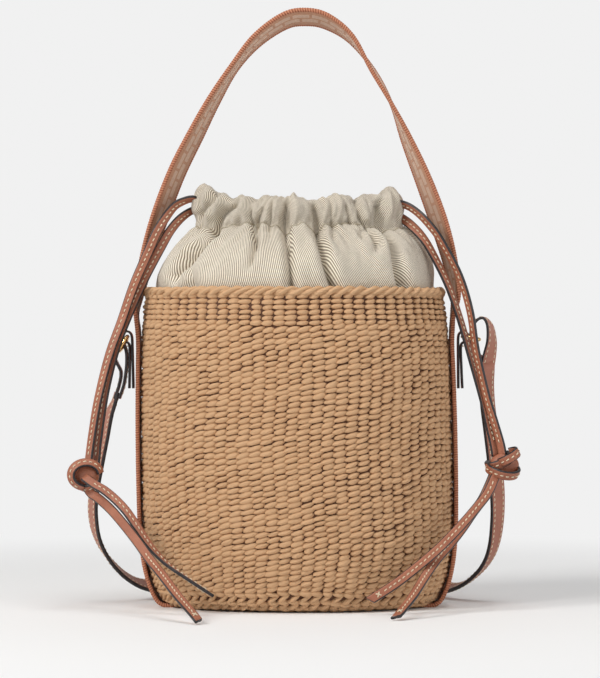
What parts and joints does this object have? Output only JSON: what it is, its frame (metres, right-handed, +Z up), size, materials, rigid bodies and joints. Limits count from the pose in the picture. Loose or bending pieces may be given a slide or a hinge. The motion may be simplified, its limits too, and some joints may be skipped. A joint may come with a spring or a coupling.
{
  "type": "bucket bag",
  "caption": "Oval woven straw bucket bag with a drawstring linen pouch, webbing top handle, knotted leather laces and a leather shoulder strap on side rings.",
  "frame": {"origin": "on the floor under the middle of the basket", "axes": "+Z up, -Y towards the front of the bag where the laces hang, +X to the right seen from the front"},
  "size_m": [0.2779, 0.3083, 0.3758],
  "materials": {
    "straw": "twined natural straw, matt",
    "webbing": "woven cotton webbing with a whipped edge",
    "linen": "linen twill",
    "lace_leather": "smooth calf, stitched, dark painted edges",
    "strap_leather": "smooth calf, stitched, dark painted edges",
    "tie_leather": "thin leather with a dark painted edge",
    "gold_metal": "polished gold tone"
  },
  "bodies": {
    "bag": {"basket_wall": "straw", "basket_base": "straw", "rim_braid": "straw", "side_band_left": "webbing", "side_band_right": "webbing", "pouch_body": "linen", "pouch_base": "linen", "drawstring_tunnel": "linen", "lace_left_inside": "lace_leather", "lace_right_inside": "lace_leather", "tie_left": "tie_leather", "tie_right": "tie_leather"},
    "handle": {"handle_webbing": "webbing"},
    "left_ring": {"ring_left": "gold_metal"},
    "right_ring": {"ring_right": "gold_metal"},
    "left_lace": {"lace_left_front_strand": "lace_leather", "lace_left_back_strand": "lace_leather", "lace_left_upper_tail": "lace_leather", "lace_left_lower_tail": "lace_leather", "lace_left_knot": "lace_leather"},
    "right_lace": {"lace_right_front_strand": "lace_leather", "lace_right_back_strand": "lace_leather", "lace_right_upper_tail": "lace_leather", "lace_right_lower_tail": "lace_leather", "lace_right_knot": "lace_leather"},
    "strap": {"shoulder_strap": "strap_leather", "strap_loop_left": "strap_leather", "strap_loop_right": "strap_leather"}
  },
  "joints": [
    {"name": "handle_fold", "type": "hinge", "parent": "bag", "child": "handle", "pos_m": [-0.0025, 0, 0.17], "axis": [-1, 0, 0], "range_deg": [0, 68]},
    {"name": "left_ring_turn", "type": "hinge", "parent": "bag", "child": "left_ring", "pos_m": [-0.10799, 0, 0.1695], "axis": [0, 1, 0], "range_deg": [-6, 12]},
    {"name": "right_ring_turn", "type": "hinge", "parent": "bag", "child": "right_ring", "pos_m": [0.10301, 0, 0.1695], "axis": [0, -1, 0], "range_deg": [-6, 12]},
    {"name": "left_lace_swing", "type": "hinge", "parent": "bag", "child": "left_lace", "pos_m": [-0.0675, 0, 0.252], "axis": [0, 1, 0], "range_deg": [0, 28]},
    {"name": "right_lace_swing", "type": "hinge", "parent": "bag", "child": "right_lace", "pos_m": [0.06, 0, 0.252], "axis": [0, -1, 0], "range_deg": [0, 28]},
    {"name": "strap_swing", "type": "hinge", "parent": "bag", "child": "strap", "pos_m": [0, 0, 0.1645], "axis": [1, 0, 0], "range_deg": [0, 45], "deforming": ["strap_loop_left", "strap_loop_right"]}
  ]
}
